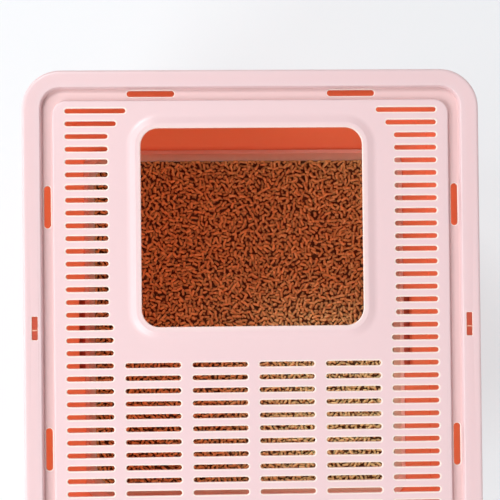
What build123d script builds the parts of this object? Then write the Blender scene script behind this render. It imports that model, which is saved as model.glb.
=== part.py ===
from build123d import *
from math import radians, tan
import os

# Top-entry litter box: a slotted lid on a tapered body, which stands on a pan of litter.
# Millimetres. X runs across the box, +Y towards the far end with the entry, +Z up.
# The origin is on the floor, under the middle of the box.

# Lid, seen from above
lid_width = 432.0
lid_length = 485.0
lid_corner = 37.0
lid_wall = 2.4
skirt_height = 20.0
skirt_draft = 1.4
rim_width = 17.5
rim_end_width = 16.4
rim_bevel = 1.8
channel_width = 11.2
channel_depth = 7.5
channel_draft = 1.8
panel_drop = 3.0
panel_draft = 0.9
panel_corner = 13.0

# Entry opening and its raised collar
opening_width = 209.0
opening_length = 187.0
opening_corner = 16.5
collar_width = 14.5
collar_crest = 5.0
collar_height = 2.4

# Slots in the panel
slot_pitch = 12.0
slot_width = 4.4
slot_end_cut = 1.3
first_row_inset = 38.5
side_slot_inset = 40.5
corner_slot = 57.0
second_slot = 48.0
narrow_slot = 40.0
wide_slot = 44.0
slot_bar = 11.0
grid_columns = 4
grid_gap = 36.0

# Slots in the channel, and the latch windows in the rim
channel_slot_end_cut = 1.8
end_slot_inset = 21.9
end_slot_width = 5.7
end_slot_length = 45.0
end_slot_spread = 190.0
flank_slot_inset = 23.2
flank_slot_width = 6.4
flank_slot_length = 40.0
flank_slot_spread = 228.0
window_inset = 11.4
window_width = 5.6
window_length = 22.0
tongue_gap = 0.5
tongue_ridge = 1.2
tongue_ridge_offset = 2.0

# Body, a tube of two tiers open at both ends
body_height = 293.6
body_wall = 3.0
body_corner = 20.0
foot_width = 381.0
foot_length = 415.0
crease_width = 385.0
crease_length = 429.0
crease_height = 47.0
line_height = 133.0
line_step = 0.8
mouth_gap = 1.1
flange_thickness = 3.0
flange_gap = 0.8

# Catch on each side of the body: a hollow bump that a clip hooks over
catch_offset = -11.0
catch_length = 88.0
catch_reach = 200.0
catch_corner = 4.0
catch_floor = 3.0

# Pan
pan_lift = 4.5
pan_wall = 2.6
flange_height = 89.0
lip_height = 6.0
lip_gap = 0.5
pan_floor_width = 349.0
pan_floor_length = 383.0
pan_floor_corner = 22.0
pan_floor_bevel = 6.0
pan_draft = 7.1
trough_gap = 0.6
upstand_height = 5.0
pan_skirt_height = 10.0

# Litter
litter_depth = 62.9
litter_gap = 0.3

# Clips, hinged on ears at the sides of the pan
clip_width = 64.0
clip_thickness = 2.8
hinge_out = 7.0
hinge_rise = 1.0
barrel_radius = 4.0
trunnion_radius = 3.0
trunnion_length = 4.5
hinge_gap = 0.3
ear_thickness = 5.0
ear_margin = 2.5
ear_gap = 0.5
catch_gap = 0.5
hook_reach = 12.5
hook_thickness = 3.0
finger_length = 8.0
finger_cut = 4.0

# Feet
foot_side = 26.0
foot_cut = 6.0
foot_gap = 0.3
foot_inset = 34.0
socket_depth = 2.5
socket_wall = 1.8

# The least corner that an inset leaves, the difference below which sizes are equal, and
# what an outer bevel is longer than the inner one, in walls, where the wall stays even
least_corner = 1.0
size_step = 0.001
bevel_share = 0.6

# Levels, from the floor up
lip_z = flange_height + lip_height
crease_z = flange_height + crease_height
line_z = flange_height + line_height
seat_z = flange_height + body_height
lid_top = seat_z + lid_wall
skirt_z = lid_top - skirt_height
channel_z = lid_top - channel_depth
panel_z = lid_top - panel_drop
skirt_lean = skirt_height * tan(radians(skirt_draft))
pan_floor_z = pan_lift + pan_wall
litter_z = pan_floor_z + litter_depth

# Plan sizes that follow from the driving ones
opening_y = opening_length / 2
mouth_width = lid_width - 2 * (rim_width - lid_wall - mouth_gap)
mouth_length = lid_length - 2 * (rim_end_width - lid_wall - mouth_gap)
line_share = (line_z - crease_z) / (seat_z - crease_z)
line_width = crease_width + (mouth_width - crease_width) * line_share
line_length = crease_length + (mouth_length - crease_length) * line_share
catch_top = crease_z + body_wall
trough_width = 2 * (catch_reach + trough_gap)
trough_length = foot_length + trough_width - foot_width
rim_out = trough_width / 2 + pan_wall
hinge_x = rim_out + hinge_out
hinge_z = flange_height + hinge_rise
hook_z = catch_top + catch_gap


def ring_below(width, length, corner, inset):
    """Draws a rounded rectangle that lies an even inset inside a larger one."""
    RectangleRounded(width - 2 * inset, length - 2 * inset, max(corner - inset, least_corner))


def cut_rectangle(length, width, corner_cut):
    """A rectangle whose corners are cut, for the feet and for slots with nearly round ends."""
    with BuildSketch() as outline:
        Rectangle(length, width)
        chamfer(outline.vertices(), length=corner_cut)
    return outline.sketch


# Lid: one moulding with a skirt, a flat rim, a channel and a slotted panel
rows_each_way = int((lid_length / 2 - first_row_inset + size_step) / slot_pitch)
rows = [slot_pitch * row for row in range(-rows_each_way, rows_each_way + 1)]
side_x = lid_width / 2 - side_slot_inset
grid_width = 2 * (side_x - wide_slot) - slot_bar
grid_pitch = grid_width / grid_columns
grid_slot = grid_pitch - slot_bar
panel_inset = rim_width + channel_width


def panel_outline(inset):
    """Draws the outline of the raised panel, an even inset inside its edge."""
    ring_below(
        lid_width - 2 * panel_inset, lid_length - 2 * panel_inset, panel_corner, inset
    )


def basin_outline(inset, mode=Mode.ADD):
    """Draws the inner edge of the rim, which is narrower at the two ends, an even inset inside."""
    RectangleRounded(
        lid_width - 2 * (rim_width + inset),
        lid_length - 2 * (rim_end_width + inset),
        max(lid_corner - rim_width - inset, least_corner),
        mode=mode,
    )


def side_slot_length(y):
    """The two rows at each end are long; beside the opening the slots stop short of its collar."""
    if abs(y) == rows[-1]:
        return corner_slot
    if abs(y) == rows[-2]:
        return second_slot
    if 0 < y < opening_length:
        return narrow_slot
    return wide_slot


with BuildPart() as lid:
    with BuildSketch(Plane.XY.offset(skirt_z)):
        RectangleRounded(lid_width, lid_length, lid_corner)
    extrude(amount=skirt_height, taper=skirt_draft)
    chamfer(lid.faces().sort_by(Axis.Z)[-1].edges(), length=rim_bevel)

    # The basin that the channel and the panel lie in
    with BuildSketch(Plane.XY.offset(lid_top)):
        basin_outline(0)
    with BuildSketch(Plane.XY.offset(channel_z)):
        basin_outline(channel_draft)
    loft(ruled=True, mode=Mode.SUBTRACT)

    # The panel stands up from the channel
    with BuildSketch(Plane.XY.offset(channel_z)):
        panel_outline(-panel_draft)
    with BuildSketch(Plane.XY.offset(panel_z)):
        panel_outline(0)
    loft(ruled=True)

    # The collar rises gently towards the opening
    with BuildSketch(Plane.XY.offset(panel_z)):
        with Locations((0, opening_y)):
            ring_below(opening_width, opening_length, opening_corner, -collar_width)
    with BuildSketch(Plane.XY.offset(panel_z + collar_height)):
        with Locations((0, opening_y)):
            ring_below(opening_width, opening_length, opening_corner, -collar_crest)
    loft(ruled=True)

    # Hollow underneath: below the channel, up into the rim, and up under the panel and collar
    with BuildSketch(Plane.XY.offset(skirt_z)):
        ring_below(lid_width, lid_length, lid_corner, lid_wall)
    extrude(amount=channel_z - lid_wall - skirt_z, taper=skirt_draft, mode=Mode.SUBTRACT)
    with BuildSketch(Plane.XY.offset(channel_z - lid_wall)):
        ring_below(lid_width, lid_length, lid_corner, lid_wall + skirt_lean)
        basin_outline(-lid_wall, mode=Mode.SUBTRACT)
    extrude(amount=channel_depth, mode=Mode.SUBTRACT)
    with BuildSketch(Plane.XY.offset(channel_z - lid_wall)):
        panel_outline(lid_wall)
    extrude(amount=channel_depth - panel_drop, mode=Mode.SUBTRACT)
    with BuildSketch(Plane.XY.offset(panel_z - lid_wall)):
        with Locations((0, opening_y)):
            ring_below(opening_width, opening_length, opening_corner, lid_wall - collar_width)
    with BuildSketch(Plane.XY.offset(panel_z - lid_wall + collar_height)):
        with Locations((0, opening_y)):
            ring_below(opening_width, opening_length, opening_corner, lid_wall - collar_crest)
    loft(ruled=True, mode=Mode.SUBTRACT)

    # The entry opening
    with BuildSketch(Plane.XY.offset(skirt_z)):
        with Locations((0, opening_y)):
            RectangleRounded(opening_width, opening_length, opening_corner)
    extrude(amount=skirt_height, mode=Mode.SUBTRACT)

    # Side columns and the grid between them
    with BuildSketch(Plane.XY.offset(skirt_z)):
        for y in rows:
            length = side_slot_length(y)
            with Locations((side_x - length / 2, y), (length / 2 - side_x, y)):
                add(cut_rectangle(length, slot_width, slot_end_cut))
            if rows[2] <= y <= -grid_gap:
                with Locations((0, y)):
                    with GridLocations(grid_pitch, slot_pitch, grid_columns, 1):
                        add(cut_rectangle(grid_slot, slot_width, slot_end_cut))
    extrude(amount=skirt_height, mode=Mode.SUBTRACT)

    # Slots in the channel floor, and a window for each latch tongue
    end_slot_y = lid_length - 2 * end_slot_inset
    flank_slot_x = lid_width - 2 * flank_slot_inset
    window_x = lid_width / 2 - window_inset
    with BuildSketch(Plane.XY.offset(skirt_z)):
        with GridLocations(end_slot_spread, end_slot_y, 2, 2):
            add(cut_rectangle(end_slot_length, end_slot_width, channel_slot_end_cut))
        with GridLocations(flank_slot_x, flank_slot_spread, 2, 2):
            add(
                cut_rectangle(flank_slot_length, flank_slot_width, channel_slot_end_cut),
                rotation=90,
            )
        with GridLocations(2 * window_x, 0, 2, 1):
            Rectangle(window_width, window_length)
    extrude(amount=skirt_height, mode=Mode.SUBTRACT)
lid.part.label = "lid"


# Body: levels and inner sizes of its tiers, from the foot up
tiers = (
    ((flange_height, foot_width, foot_length), (crease_z, crease_width, crease_length)),
    ((crease_z, crease_width, crease_length), (line_z, line_width, line_length)),
    (
        (line_z, line_width + 2 * line_step, line_length + 2 * line_step),
        (seat_z, mouth_width, mouth_length),
    ),
)

with BuildPart() as body:
    for tier in tiers:
        for z, width, length in tier:
            with BuildSketch(Plane.XY.offset(z)):
                ring_below(width, length, body_corner, -body_wall)
        loft(ruled=True)

    # Flange under the rim of the lid
    flange_inset = lid_wall + skirt_lean + flange_gap
    with BuildSketch(Plane.XY.offset(seat_z - flange_thickness)):
        ring_below(lid_width, lid_length, lid_corner, flange_inset)
    extrude(amount=flange_thickness)

    # Catches on both sides, hollow from inside
    with BuildSketch(Plane.XY.offset(flange_height)):
        with Locations((0, catch_offset)):
            RectangleRounded(2 * catch_reach, catch_length + 2 * body_wall, catch_corner)
    extrude(amount=crease_height + body_wall)

    for tier in tiers:
        for z, width, length in tier:
            with BuildSketch(Plane.XY.offset(z)):
                RectangleRounded(width, length, body_corner)
        loft(ruled=True, mode=Mode.SUBTRACT)
    with BuildSketch(Plane.XY.offset(flange_height + catch_floor)):
        with Locations((0, catch_offset)):
            Rectangle(2 * (catch_reach - body_wall), catch_length)
    extrude(amount=crease_height - catch_floor, mode=Mode.SUBTRACT)

    # Latch tongues, each with a small ridge, standing in the windows of the lid
    ridge_height = tongue_ridge / 2
    tongue_height = lid_wall - ridge_height - tongue_gap
    with BuildSketch(Plane.XY.offset(seat_z)):
        with GridLocations(2 * window_x, 0, 2, 1):
            Rectangle(window_width - 2 * tongue_gap, window_length - 2 * tongue_gap)
    extrude(amount=tongue_height)
    with BuildSketch(Plane.XY.offset(seat_z + tongue_height)):
        with Locations((0, -tongue_ridge_offset)):
            with GridLocations(2 * window_x, 0, 2, 1):
                Rectangle(window_width - 2 * tongue_gap, tongue_ridge)
    extrude(amount=ridge_height)
body.part.label = "body"


# The room inside the pan's tub, up to its lip
with BuildPart() as tub:
    with BuildSketch(Plane.XY.offset(pan_floor_z)):
        RectangleRounded(pan_floor_width, pan_floor_length, pan_floor_corner)
    extrude(amount=lip_z - pan_floor_z, taper=-pan_draft)
    chamfer(tub.faces().sort_by(Axis.Z)[0].edges(), length=pan_floor_bevel)


# Pan: a tub with an upright lip inside the body's foot and a trough round the outside
lip_outer_width = foot_width - 2 * lip_gap
lip_outer_length = foot_length - 2 * lip_gap
foot_x = pan_floor_width / 2 - foot_inset
foot_y = pan_floor_length / 2 - foot_inset
ear_y = clip_width / 2 + ear_gap + ear_thickness / 2

with BuildPart() as pan:
    with BuildSketch(Plane.XY.offset(pan_lift)):
        ring_below(pan_floor_width, pan_floor_length, pan_floor_corner, -pan_wall)
    extrude(amount=flange_height - pan_lift, taper=-pan_draft)
    chamfer(pan.faces().sort_by(Axis.Z)[0].edges(), length=pan_floor_bevel + pan_wall * bevel_share)

    # Flange with its outer skirt, then the lip and the upstand of the trough
    with BuildSketch(Plane.XY.offset(flange_height - pan_skirt_height)):
        ring_below(trough_width, trough_length, body_corner, -pan_wall)
        RectangleRounded(trough_width, trough_length, body_corner, mode=Mode.SUBTRACT)
    extrude(amount=pan_skirt_height + upstand_height)
    with BuildSketch(Plane.XY.offset(flange_height - pan_wall)):
        RectangleRounded(trough_width, trough_length, body_corner)
    extrude(amount=pan_wall)
    with BuildSketch(Plane.XY.offset(flange_height)):
        RectangleRounded(lip_outer_width, lip_outer_length, body_corner - lip_gap)
    extrude(amount=lip_height)

    # The room inside, open at the top
    add(tub.part, mode=Mode.SUBTRACT)

    # Raised edges round the feet
    socket = foot_side + 2 * foot_gap
    with BuildSketch(Plane.XY.offset(pan_lift - socket_depth)):
        with GridLocations(2 * foot_x, 2 * foot_y, 2, 2):
            add(cut_rectangle(socket + 2 * socket_wall, socket + 2 * socket_wall, foot_cut))
            add(cut_rectangle(socket, socket, foot_cut), mode=Mode.SUBTRACT)
    extrude(amount=socket_depth)

    # Ears that carry the clips
    ear_radius = trunnion_radius + hinge_gap + ear_margin
    for side in (-1, 1):
        for end in (-1, 1):
            ear_plane = Plane.XZ.offset(-catch_offset - end * ear_y)
            with BuildSketch(ear_plane):
                with Locations((side * hinge_x, hinge_z)):
                    Circle(ear_radius)
                with Locations((side * (rim_out + hinge_x) / 2, hinge_z)):
                    Rectangle(hinge_x - rim_out, 2 * ear_radius)
                with Locations((side * hinge_x, hinge_z)):
                    Circle(trunnion_radius + hinge_gap, mode=Mode.SUBTRACT)
            extrude(amount=ear_thickness / 2, both=True)
pan.part.label = "pan"


# Litter: a level bed that fills the tub
with BuildPart() as litter_bed:
    with BuildSketch(Plane.XY.offset(pan_floor_z)):
        ring_below(pan_floor_width, pan_floor_length, pan_floor_corner, litter_gap)
    extrude(amount=litter_depth, taper=-pan_draft)
    chamfer(litter_bed.faces().sort_by(Axis.Z)[0].edges(), length=pan_floor_bevel)
litter_bed.part.label = "litter_bed"


# Clips: they hang open from their trunnions and swing up to hook over the catches
hook_arm = hook_z - hinge_z
arm_length = hook_arm + hook_thickness + finger_length


def make_clip(side):
    """A clip hanging from its hinge, on the right for side 1 and on the left for side -1."""
    with BuildPart() as clip:
        with BuildSketch(Plane.XZ.offset(-catch_offset)):
            with Locations((side * hinge_x, hinge_z)):
                Circle(barrel_radius)
            with Locations((side * hinge_x, hinge_z - arm_length / 2)):
                Rectangle(clip_thickness, arm_length)
            hook_mid = hinge_x + hook_reach / 2
            with Locations((side * hook_mid, hinge_z - hook_arm - hook_thickness / 2)):
                Rectangle(hook_reach, hook_thickness)
        extrude(amount=clip_width / 2, both=True)
        lowest = clip.edges().filter_by(Axis.X).group_by(Axis.Z)[0]
        chamfer(lowest, length=finger_cut)
        with BuildSketch(Plane.XZ.offset(-catch_offset)):
            with Locations((side * hinge_x, hinge_z)):
                Circle(trunnion_radius)
        extrude(amount=clip_width / 2 + trunnion_length, both=True)
    return clip.part


left_clip = make_clip(-1)
left_clip.label = "left_clip"
right_clip = make_clip(1)
right_clip.label = "right_clip"


# Feet: soft pads with cut corners, inside the raised edges
foot_places = {
    "foot_near_left": (-foot_x, -foot_y),
    "foot_near_right": (foot_x, -foot_y),
    "foot_far_left": (-foot_x, foot_y),
    "foot_far_right": (foot_x, foot_y),
}
feet = {}
for name, place in foot_places.items():
    with BuildPart() as foot:
        with BuildSketch(Plane.XY):
            with Locations(place):
                add(cut_rectangle(foot_side, foot_side, foot_cut))
        extrude(amount=pan_lift)
    foot.part.label = name
    feet[name] = foot.part


os.makedirs("parts", exist_ok=True)
export_step(lid.part, "parts/lid.step")
export_step(body.part, "parts/body.step")
export_step(pan.part, "parts/pan.step")
export_step(litter_bed.part, "parts/litter_bed.step")
export_step(left_clip, "parts/left_clip.step")
export_step(right_clip, "parts/right_clip.step")
for name, foot_part in feet.items():
    export_step(foot_part, f"parts/{name}.step")
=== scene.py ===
"""Looks of a covered litter box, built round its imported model.

The slotted lid and the litter are modelled here as finer meshes. The body, the pan, the clips
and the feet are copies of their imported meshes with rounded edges. Lengths are in metres.
"""

import logging
import math
from dataclasses import dataclass
from typing import Any, Sequence, Union

import bmesh
import bpy
import numpy as np
from bpy.types import Material, Mesh, Object, World
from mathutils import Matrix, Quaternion, Vector
from mathutils.geometry import delaunay_2d_cdt


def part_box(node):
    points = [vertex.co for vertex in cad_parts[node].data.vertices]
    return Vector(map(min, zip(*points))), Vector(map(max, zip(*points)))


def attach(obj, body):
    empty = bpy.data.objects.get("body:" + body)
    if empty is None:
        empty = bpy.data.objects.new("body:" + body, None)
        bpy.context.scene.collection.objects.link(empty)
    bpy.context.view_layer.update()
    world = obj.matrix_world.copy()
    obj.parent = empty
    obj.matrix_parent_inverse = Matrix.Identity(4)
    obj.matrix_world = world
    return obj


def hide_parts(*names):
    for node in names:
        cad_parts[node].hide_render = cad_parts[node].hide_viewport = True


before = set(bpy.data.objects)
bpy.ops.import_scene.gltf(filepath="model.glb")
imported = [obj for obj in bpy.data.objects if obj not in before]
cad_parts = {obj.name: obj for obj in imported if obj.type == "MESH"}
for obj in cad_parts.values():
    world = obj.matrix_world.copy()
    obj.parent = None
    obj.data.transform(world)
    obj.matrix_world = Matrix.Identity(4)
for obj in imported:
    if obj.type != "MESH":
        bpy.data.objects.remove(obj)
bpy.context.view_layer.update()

LOG = logging.getLogger("litter_box")
MM = 0.001
MERGE = 1e-6
STRAIGHT = 0.02
Value = Union["Socket", int, float]
HighlightShare = Union[float, np.ndarray]
Colour = Point = tuple[float, float, float]

# Names of the numbers that a mesh's points hold for its material
# The first marks where a painted highlight lies, the second where painted shade lies.
PAINTED_HIGHLIGHT, PAINTED_SHADE = "painted_highlight", "shaded_recess"
# Pellets hold random tone times painted shade, and a khaki share that paints a pool of light.
TONE_AND_SHADE, KHAKI_AND_LIGHT_POOL = "pellet_tone_and_shade", "pellet_khaki_and_light_pool"


# Shader trees


@dataclass(frozen=True)
class Grain:
    """A noise and, where it raises the surface, the strength and depth of its relief."""

    scale: float
    detail: float
    strength: float = 0.0
    depth: float = 0.0


class Socket:
    """A node's output on which Python's arithmetic adds Math nodes."""

    def __init__(self, tree: "ShaderTree", output: bpy.types.NodeSocket) -> None:
        """Wraps one output socket of a tree."""
        self.tree = tree
        self.output = output

    def _math(self, operation: str, first: Value, second: Value) -> "Socket":
        """Adds a Math node with this operation on two values or sockets."""
        return self.tree.add("ShaderNodeMath", {"operation": operation}, {0: first, 1: second})

    def __add__(self, other: Value) -> "Socket":
        """Sum of the socket and a value."""
        return self._math("ADD", self, other)

    __radd__ = __add__

    def __sub__(self, other: Value) -> "Socket":
        """The socket less a value."""
        return self._math("SUBTRACT", self, other)

    def __rsub__(self, other: Value) -> "Socket":
        """A value less the socket."""
        return self._math("SUBTRACT", other, self)

    def __mul__(self, other: Value) -> "Socket":
        """Product of the socket and a value."""
        return self._math("MULTIPLY", self, other)

    __rmul__ = __mul__

    def clamped(self) -> "Socket":
        """The socket held between 0 and 1."""
        return self.tree.add("ShaderNodeClamp", {}, {"Value": self})


class ShaderTree:
    """The node tree of one material or of the world."""

    def __init__(self, owner: Union[Material, World]) -> None:
        """Empties the owner's tree, ready for new nodes."""
        owner.use_nodes = True
        self.owner = owner
        self.tree = owner.node_tree
        self.tree.nodes.clear()

    def add(
        self,
        kind: str,
        settings: dict[str, Any],
        sockets: dict[Union[int, str], Any],
        out: Union[int, str] = 0,
    ) -> Socket:
        """Adds a node.

        Args:
            kind: The node's type.
            settings: Its properties, set first.
            sockets: Sockets, numbers or colours by the input's name or number.
            out: The name or number of the output that is returned.

        Returns:
            The chosen output, wrapped.
        """
        node = self.tree.nodes.new(kind)
        for key, value in settings.items():
            setattr(node, key, value)
        for key, value in sockets.items():
            if isinstance(value, Socket):
                self.tree.links.new(value.output, node.inputs[key])
            else:
                is_colour = isinstance(value, tuple)
                node.inputs[key].default_value = (*value, 1.0) if is_colour else value
        return Socket(self, node.outputs[out])

    def place(self) -> Socket:
        """The Object coordinates."""
        return self.add("ShaderNodeTexCoord", {}, {}, "Object")

    def noise(self, grain: Grain) -> Socket:
        """A grain's noise on the Object coordinates."""
        sockets = {"Vector": self.place(), "Scale": grain.scale, "Detail": grain.detail}
        return self.add("ShaderNodeTexNoise", {}, sockets, "Fac")

    def attribute(self, name: str) -> Socket:
        """The number that a mesh's points hold under this name, 0 where they hold none."""
        return self.add("ShaderNodeAttribute", {"attribute_name": name}, {}, "Fac")

    def mixed(self, factor: Value, first: Any, second: Any) -> Socket:
        """A mix of two colours."""
        settings = {"data_type": "RGBA"}
        return self.add("ShaderNodeMix", settings, {0: factor, 6: first, 7: second}, 2)

    def remap(self, value: Socket, low: float, high: float) -> Socket:
        """Turns low to high into 0 to 1, smoothly."""
        settings = {"interpolation_type": "SMOOTHSTEP"}
        return self.add("ShaderNodeMapRange", settings, {0: value, 1: low, 2: high})

    def in_view(self) -> Socket:
        """1 for what the camera sees, also by reflection or through glass, and else 0."""
        rays = [
            self.add("ShaderNodeLightPath", {}, {}, f"Is {kind} Ray")
            for kind in ("Camera", "Glossy", "Transmission")
        ]
        return (rays[0] + rays[1] + rays[2]).clamped()

    def surface(
        self, colour: Socket, roughness: Value, grain: Grain, coat: Sequence[float] = (0.0, 0.0)
    ) -> Socket:
        """Adds a Principled shader.

        Args:
            colour: Its base colour.
            roughness: Its roughness, a number or a socket.
            grain: Its relief.
            coat: The weight and the roughness of its coat.

        Returns:
            The shader.
        """
        relief = {"Strength": grain.strength, "Distance": grain.depth, "Height": self.noise(grain)}
        sockets = {
            "Base Color": colour,
            "Roughness": roughness,
            "Coat Weight": coat[0],
            "Coat Roughness": coat[1],
            "Normal": self.add("ShaderNodeBump", {}, relief, "Normal"),
        }
        return self.add("ShaderNodeBsdfPrincipled", {}, sockets)

    def finish(
        self, shader: Socket, kind: str = "ShaderNodeOutputMaterial"
    ) -> Union[Material, World]:
        """Links the last shader to the tree's output and gives back the tree's owner."""
        output = self.tree.nodes.new(kind)
        self.tree.links.new(shader.output, output.inputs["Surface"])
        return self.owner


# Finishes


@dataclass(frozen=True)
class MouldedPlastic:
    """Injection-moulded polypropylene: satin gloss, a fine grain and faint flow marks.

    The thin walls let some light through, so a share of the shader is translucent.
    """

    name: str
    colour: Colour
    shade: Colour
    flow: Grain = Grain(9.0, 3.0)
    flow_share: float = 0.5
    roughness: float = 0.34
    smudge: Grain = Grain(54.0, 4.0)
    smudge_share: float = 0.12
    grain: Grain = Grain(1500.0, 2.0, 0.35, 0.02 * MM)
    coat: tuple[float, float] = (0.12, 0.18)
    glow: float = 0.0
    glow_colour: Colour = (1.0, 1.0, 1.0)
    # Below the lower height the surface takes this colour as painted shade.
    low_shade_colour: Colour = (1.0, 1.0, 1.0)
    low_shade_from: float = 0.0
    low_shade_to: float = 0.0
    # Colour of a painted highlight where the mesh marks it.
    highlight_colour: Colour = (1.0, 1.0, 1.0)
    # Colour of painted shade where the mesh marks it.
    painted_shade_colour: Colour = (1.0, 1.0, 1.0)

    def material(self) -> Material:
        """Builds the material.

        Returns:
            The finished material.
        """
        tree = ShaderTree(bpy.data.materials.new(self.name))
        colour = tree.mixed(tree.noise(self.flow) * self.flow_share, self.colour, self.shade)
        # Painted shade: below the lower height the colour turns darker and redder.
        if self.low_shade_to < self.low_shade_from:
            height = tree.add("ShaderNodeSeparateXYZ", {}, {0: tree.place()}, "Z")
            above = tree.remap(height, self.low_shade_to, self.low_shade_from)
            colour = tree.mixed(above, self.low_shade_colour, colour)
        # Painted highlight where the mesh marks it.
        colour = tree.mixed(tree.attribute(PAINTED_HIGHLIGHT), colour, self.highlight_colour)
        # Painted shade where the mesh marks it.
        colour = tree.mixed(tree.attribute(PAINTED_SHADE), colour, self.painted_shade_colour)
        smooth = self.roughness - self.smudge_share / 2
        roughness = tree.noise(self.smudge) * self.smudge_share + smooth
        shader = tree.surface(colour, roughness, self.grain, self.coat)
        if self.glow > 0:
            through = tree.add("ShaderNodeBsdfTranslucent", {}, {"Color": self.glow_colour})
            shader = tree.add("ShaderNodeMixShader", {}, {0: self.glow, 1: shader, 2: through})
        return tree.finish(shader)


@dataclass(frozen=True)
class SoftRubber:
    """Matt rubber of the feet, with a fine moulded texture and rubbed patches."""

    name: str = "foot_rubber"
    colour: Colour = (0.33, 0.32, 0.315)
    rubbed_and_highlit: Colour = (0.45, 0.44, 0.43)
    patches: Grain = Grain(60.0, 4.0)
    patch_start: float = 0.45
    patch_full: float = 0.7
    roughness: float = 0.78
    grain: Grain = Grain(2200.0, 2.0, 0.6, 0.05 * MM)

    def material(self) -> Material:
        """Builds the material.

        Returns:
            The finished material.
        """
        tree = ShaderTree(bpy.data.materials.new(self.name))
        patches = tree.remap(tree.noise(self.patches), self.patch_start, self.patch_full)
        colour = tree.mixed(patches, self.colour, self.rubbed_and_highlit)
        return tree.finish(tree.surface(colour, self.roughness, self.grain))


@dataclass(frozen=True)
class PressedFibre:
    """Pressed plant fibre of the litter pellets: matt, fibrous and uneven in tone."""

    name: str
    pale: Colour
    dark: Colour
    # Khaki pellets, made bright where they paint a pool of light.
    khaki: Colour
    tone_share: float = 1.25
    fibre: Grain = Grain(900.0, 3.0)
    fibre_share: float = 0.4
    darkening: float = 0.08
    roughness: float = 0.82
    grain: Grain = Grain(1400.0, 3.0, 0.7, 0.2 * MM)

    def material(self) -> Material:
        """Builds the material.

        Returns:
            The finished material.
        """
        tree = ShaderTree(bpy.data.materials.new(self.name))
        fibre = tree.noise(self.fibre) * self.fibre_share
        # The tone holds painted shade: pellet undersides and deeper pellets are darker.
        share = tree.attribute(TONE_AND_SHADE) * self.tone_share + fibre - self.darkening
        # The khaki share is khaki pellets and a painted pool of light.
        unshaded_colour = tree.mixed(tree.attribute(KHAKI_AND_LIGHT_POOL), self.pale, self.khaki)
        colour = tree.mixed(share.clamped(), self.dark, unshaded_colour)
        return tree.finish(tree.surface(colour, self.roughness, self.grain))


# Outlines and meshes


@dataclass(frozen=True)
class Outline:
    """A rounded rectangle seen from above.

    Its sense is 1 where insets go inwards, and -1 where they go outwards, as round a hole.
    """

    width: float
    length: float
    corner: float
    centre: tuple[float, float] = (0.0, 0.0)
    steps: int = 14
    sense: int = 1

    def loops(self, insets: Sequence[float]) -> np.ndarray:
        """Outlines that lie evenly inside this one, or outside with the other sense.

        A point at angle t of a corner is the corner's hub plus its radius times (cos t, sin t).
        An inset is taken from the radius and leaves the hub where it is.

        Args:
            insets: Distances from this outline.

        Returns:
            Points of shape (insets, points, 2), anticlockwise.
        """
        turns = np.linspace(0, math.pi / 2, self.steps + 1)
        angles = (np.arange(4)[:, None] * math.pi / 2 + turns).ravel()
        side_x = np.repeat([1, -1, -1, 1], self.steps + 1)
        side_y = np.repeat([1, 1, -1, -1], self.steps + 1)
        hub_x = self.centre[0] + side_x * (self.width / 2 - self.corner)
        hub_y = self.centre[1] + side_y * (self.length / 2 - self.corner)
        radius = self.corner - self.sense * np.asarray(insets, float)[:, None]
        return np.stack([hub_x + radius * np.cos(angles), hub_y + radius * np.sin(angles)], -1)

    def loop(self, inset: float) -> np.ndarray:
        """The outline that lies this far inside, of shape (points, 2)."""
        return self.loops([inset])[0]


@dataclass(frozen=True)
class Slots:
    """A group of equal slots with round ends."""

    centres: np.ndarray
    length: float
    width: float
    lip: float
    # Width of the flat ring round the slot that takes a painted highlight.
    halo: float
    along_y: bool = False
    steps: int = 6

    def loops(self, growths: Sequence[float]) -> np.ndarray:
        """Outlines of every slot, grown by each of these distances.

        Args:
            growths: Distances outwards from the slot's own outline.

        Returns:
            Points of shape (slots, growths, points, 2).
        """
        spans = (self.width, self.length) if self.along_y else (self.length, self.width)
        corner = self.width / 2 - MERGE * 10
        shape = Outline(*spans, corner, steps=self.steps, sense=-1)
        return self.centres[:, None, None, :] + shape.loops(growths)


def rounded(*points: Point, steps: int = 4) -> np.ndarray:
    """A profile whose corners are arcs.

    Each corner is given as (across, height, radius). An arc starts and ends on the two runs, at
    the radius times the tangent of half the turn from the corner, and its points are the arc's
    centre plus the radius turned evenly from one end to the other. A corner that is nearly
    straight stays a point.

    Args:
        *points: The profile's corners; the first and the last stay sharp.
        steps: Segments of each arc.

    Returns:
        Points of shape (count, 2).
    """
    corners = np.array(points, float)
    profile = [corners[0, :2]]
    for before, corner, after in zip(corners, corners[1:], corners[2:]):
        here = corner[:2]
        back = (before[:2] - here) / np.linalg.norm(before[:2] - here)
        ahead = (after[:2] - here) / np.linalg.norm(after[:2] - here)
        between = math.acos(float(np.clip(back @ ahead, -1, 1)))
        radius = corner[2]
        if radius == 0 or between > math.pi - STRAIGHT:
            profile.append(here)
            continue
        reach = radius / math.tan(between / 2)
        middle = (back + ahead) / np.linalg.norm(back + ahead)
        hub = here + middle * radius / math.sin(between / 2)
        first, last = here + back * reach - hub, here + ahead * reach - hub
        turn = math.pi - between
        share = np.linspace(0, 1, steps + 1)[:, None]
        arc = (np.sin((1 - share) * turn) * first + np.sin(share * turn) * last) / math.sin(turn)
        profile.extend(hub + arc)
    profile.append(corners[-1, :2])
    return np.array(profile)


def tubes(count: int, rings: int, around: int) -> np.ndarray:
    """The faces of equal tubes, each a few rings of points.

    Point j of ring i of tube k has the number (k * rings + i) * around + j, and a face joins it
    to its neighbours on its own and on the next ring.

    Args:
        count: How many tubes there are.
        rings: The rings of each.
        around: The points on each ring.

    Returns:
        The numbers of the faces' points, of shape (faces, 4).
    """
    corner = np.arange(around)
    low = (np.arange(count)[:, None] * rings + np.arange(rings - 1))[..., None] * around
    here, ahead = low + corner, low + (corner + 1) % around
    return np.stack([here, ahead, ahead + around, here + around], -1).reshape(-1, 4)


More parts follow.
